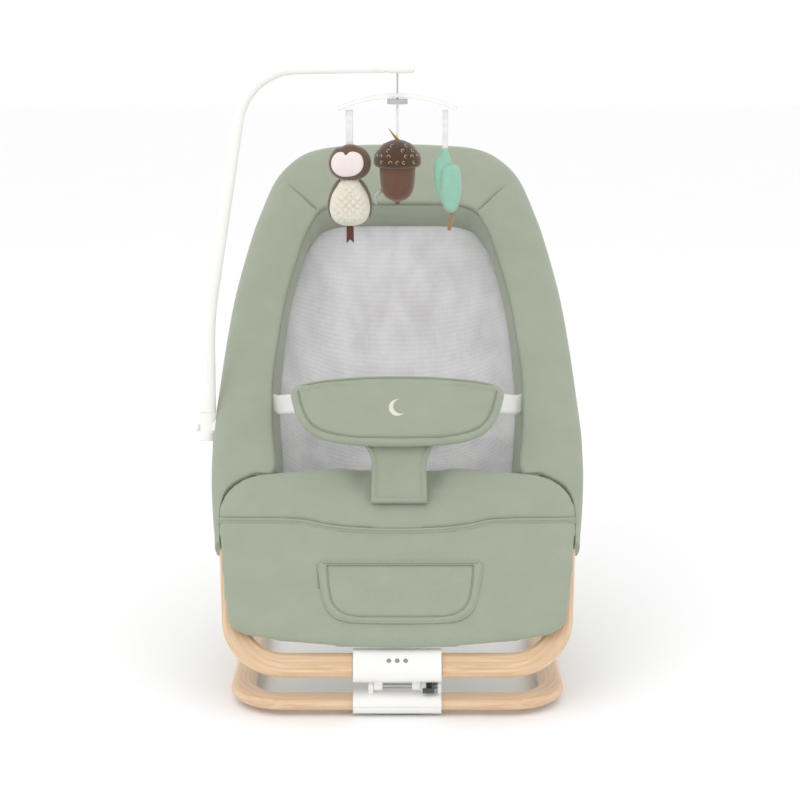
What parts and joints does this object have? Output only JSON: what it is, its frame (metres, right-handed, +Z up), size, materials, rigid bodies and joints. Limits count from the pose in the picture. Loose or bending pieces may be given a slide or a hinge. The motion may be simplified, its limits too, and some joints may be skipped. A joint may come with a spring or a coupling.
{
  "type": "bouncer seat",
  "caption": "Baby bouncer seat: a padded bucket seat with a mesh back and waist harness on bentwood loops, with a bent arm that holds hanging soft toys.",
  "frame": {"origin": "on the floor, under the middle of the front bar: the centre of the sole pad under the front base sleeve", "axes": "+X to the right as seen from the front, +Y from the front bar towards the head end, +Z up; millimetres in the source"},
  "size_m": [0.4534, 0.636, 0.6938],
  "materials": {
    "beech": "clear satin lacquer",
    "white_plastic": "fine matt moulded",
    "dark_plastic": "matt moulded",
    "grey_plastic": "matt moulded",
    "rubber": "matt",
    "rubber_grey": "matt",
    "steel": "zinc plated",
    "painted_steel": "powder coat",
    "brass": "plain",
    "battery": "printed sleeve, plain",
    "circuit_board": "solder mask",
    "sage_fabric": "fine plain weave",
    "grey_mesh": "open spacer mesh",
    "white_webbing": "woven webbing",
    "brown_felt": "felt",
    "nut_felt": "felt",
    "cream_plush": "quilted plush",
    "white_ribbon": "woven ribbon",
    "leaf_felt": "quilted felt"
  },
  "bodies": {
    "base_frame": {"base_rail_right": "beech", "base_rail_left": "beech", "rubber_feet": "rubber", "hinge_base_shell": "white_plastic", "hinge_pin": "steel", "rear_joiner_top": "white_plastic", "sleeve_bottom_shells": "white_plastic", "base_screws": "steel", "latch_spring": "steel"},
    "fold_latch": {"latch_slider": "dark_plastic"},
    "fold_sleeve": {"upper_sleeve_front_shell": "white_plastic", "upper_sleeve_rear_shell": "white_plastic", "upper_sleeve_screws": "steel", "bounce_spring": "steel"},
    "seat": {"front_rail_right": "beech", "front_rail_left": "beech", "torsion_core": "steel", "frame_joiners": "white_plastic", "back_frame_tube": "painted_steel", "border_pad_right": "sage_fabric", "border_pad_left": "sage_fabric", "border_pad_top": "sage_fabric", "mesh_back": "grey_mesh", "seat_sling": "sage_fabric", "well_walls": "sage_fabric", "leg_rest": "sage_fabric", "knee_pad": "sage_fabric", "pocket_flap": "sage_fabric", "vibration_case_front": "white_plastic", "vibration_case_rear": "white_plastic", "battery_door": "white_plastic", "case_screws": "steel", "battery_cells": "battery", "circuit_board": "circuit_board", "vibration_motor": "steel", "strap_clips": "white_plastic", "side_straps": "white_webbing", "arm_clamp_inner": "white_plastic", "arm_socket": "white_plastic", "arm_clamp_screws": "steel"},
    "snap_button_right": {"snap_button_right": "steel"},
    "snap_button_left": {"snap_button_left": "steel"},
    "power_button": {"power_button": "rubber_grey"},
    "motor_weight": {"eccentric_weight": "brass"},
    "harness": {"crotch_strap": "sage_fabric", "waist_pad": "sage_fabric", "pad_sockets": "white_plastic"},
    "arm_knob": {"arm_release_knob": "white_plastic"},
    "toy_arm": {"toy_arm_tube": "white_plastic", "toy_arm_cap": "white_plastic"},
    "mobile": {"mobile_bar": "white_plastic", "mobile_hanger": "grey_plastic"},
    "owl_toy": {"owl_ribbon": "white_ribbon", "owl_head": "brown_felt", "owl_body": "cream_plush"},
    "acorn_toy": {"acorn_cord": "white_ribbon", "acorn_cap": "brown_felt", "acorn_nut": "nut_felt"},
    "leaf_toy": {"leaf_ribbon": "white_ribbon", "leaf_body": "leaf_felt"}
  },
  "joints": [
    {"name": "frame_fold", "type": "hinge", "parent": "base_frame", "child": "fold_sleeve", "pos_m": [0, 0, 0.0305], "axis": [1, 0, 0], "range_deg": [-40, 0]},
    {"name": "latch_slide", "type": "slide", "parent": "base_frame", "child": "fold_latch", "axis": [1, 0, 0], "range_m": [-0.0044, 0], "stiffness_N_per_m": 300, "deforming": ["latch_spring"]},
    {"name": "seat_bounce", "type": "hinge", "parent": "fold_sleeve", "child": "seat", "pos_m": [0, 0, 0.054], "axis": [1, 0, 0], "range_deg": [-4, 3], "stiffness_Nm_per_rad": 400, "springref_deg": 1.07},
    {"name": "snap_button_right_press", "type": "slide", "parent": "seat", "child": "snap_button_right", "axis": [0, -0.7071, 0.7071], "range_m": [0, 0.0044], "stiffness_N_per_m": 250},
    {"name": "snap_button_left_press", "type": "slide", "parent": "seat", "child": "snap_button_left", "axis": [0, -0.7071, 0.7071], "range_m": [0, 0.0044], "stiffness_N_per_m": 250},
    {"name": "power_button_press", "type": "slide", "parent": "seat", "child": "power_button", "axis": [0, 0.7071, -0.7071], "range_m": [0, 0.001], "stiffness_N_per_m": 400},
    {"name": "motor_weight_spin", "type": "hinge", "parent": "seat", "child": "motor_weight", "pos_m": [0.036, 0.04879, 0.1141], "axis": [1, 0, 0], "continuous": true},
    {"name": "harness_flip", "type": "hinge", "parent": "seat", "child": "harness", "pos_m": [0, 0.11137, 0.2085], "axis": [1, 0, 0], "range_deg": [0, 130]},
    {"name": "arm_knob_pull", "type": "slide", "parent": "seat", "child": "arm_knob", "axis": [-1, 0, 0], "range_m": [0, 0.002], "stiffness_N_per_m": 300},
    {"name": "toy_arm_swivel", "type": "hinge", "parent": "seat", "child": "toy_arm", "pos_m": [-0.222, 0.213, 0.258], "axis": [0, 0.1305, 0.9914], "range_deg": [-100, 0]},
    {"name": "mobile_spin", "type": "hinge", "parent": "toy_arm", "child": "mobile", "pos_m": [0, 0.26926, 0.68531], "axis": [0, 0, 1], "continuous": true},
    {"name": "owl_swing", "type": "hinge", "parent": "mobile", "child": "owl_toy", "pos_m": [-0.056, 0.26926, 0.6374], "axis": [1, 0, 0], "range_deg": [-25, 25]},
    {"name": "acorn_swing", "type": "hinge", "parent": "mobile", "child": "acorn_toy", "pos_m": [0, 0.26926, 0.6437], "axis": [1, 0, 0], "range_deg": [-25, 25]},
    {"name": "leaf_swing", "type": "hinge", "parent": "mobile", "child": "leaf_toy", "pos_m": [0.056, 0.26926, 0.6374], "axis": [1, 0, 0], "range_deg": [-25, 25]}
  ]
}
